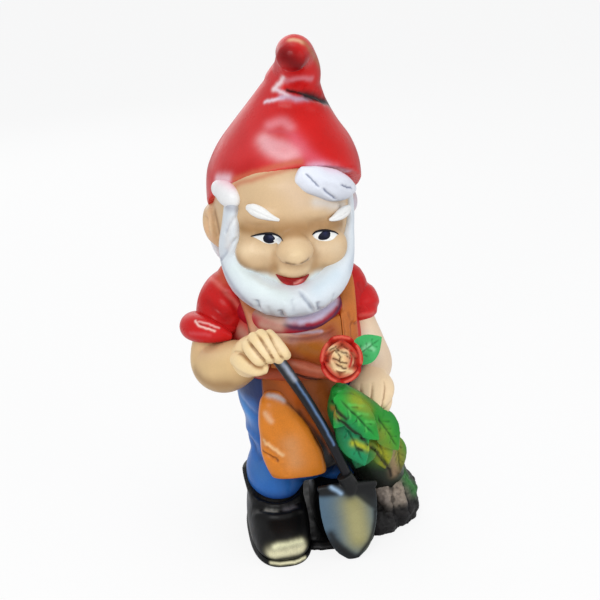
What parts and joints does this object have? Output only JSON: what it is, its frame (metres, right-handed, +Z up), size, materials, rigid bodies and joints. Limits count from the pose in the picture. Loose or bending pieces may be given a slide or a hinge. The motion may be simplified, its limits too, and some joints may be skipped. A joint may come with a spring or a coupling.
{
  "type": "garden gnome",
  "caption": "Standing garden gnome in a red pointed cap, apron and boots, leaning on a spade beside a rose bush; a moulded, airbrushed lawn ornament.",
  "frame": {"origin": "on the ground under the middle of the figure, at its standing face", "axes": "+Z up the figure, the gnome looks along -Y, +X is the gnome's left"},
  "size_m": [0.1851, 0.1797, 0.4045],
  "materials": {
    "red_paint": "gloss airbrushed paint",
    "skin_paint": "satin airbrushed paint",
    "white_paint": "satin airbrushed paint",
    "black_paint": "gloss airbrushed paint",
    "blue_paint": "gloss airbrushed paint",
    "apron_paint": "gloss airbrushed paint",
    "collar_paint": "gloss airbrushed paint",
    "spade_paint": "gloss airbrushed paint",
    "earth_paint": "satin airbrushed paint",
    "leaf_paint": "gloss airbrushed paint"
  },
  "bodies": {
    "root": {"cap": "red_paint", "shirt_body": "red_paint", "sleeve_right": "red_paint", "sleeve_left": "red_paint", "cuff_right": "red_paint", "cuff_left": "red_paint", "rose_flower": "red_paint", "head": "skin_paint", "forearm_right": "skin_paint", "forearm_left": "skin_paint", "hand_right": "skin_paint", "hand_left": "skin_paint", "beard": "white_paint", "hair_back": "white_paint", "hair_tuft_right": "white_paint", "hair_tuft_left": "white_paint", "eyebrow_right": "white_paint", "eyebrow_left": "white_paint", "boot_right": "black_paint", "boot_left": "black_paint", "boot_sole_right": "black_paint", "boot_sole_left": "black_paint", "ground_plinth": "black_paint", "trousers": "blue_paint", "apron_bib": "apron_paint", "apron_tie": "apron_paint", "apron_bow": "apron_paint", "apron_strap_right": "apron_paint", "apron_strap_left": "apron_paint", "apron_skirt": "apron_paint", "apron_pocket": "apron_paint", "shirt_collar": "collar_paint", "spade_blade": "spade_paint", "spade_shaft": "spade_paint", "earth_mound": "earth_paint", "rose_bush": "leaf_paint", "rose_stem": "leaf_paint", "rose_leaf": "leaf_paint"}
  },
  "joints": []
}
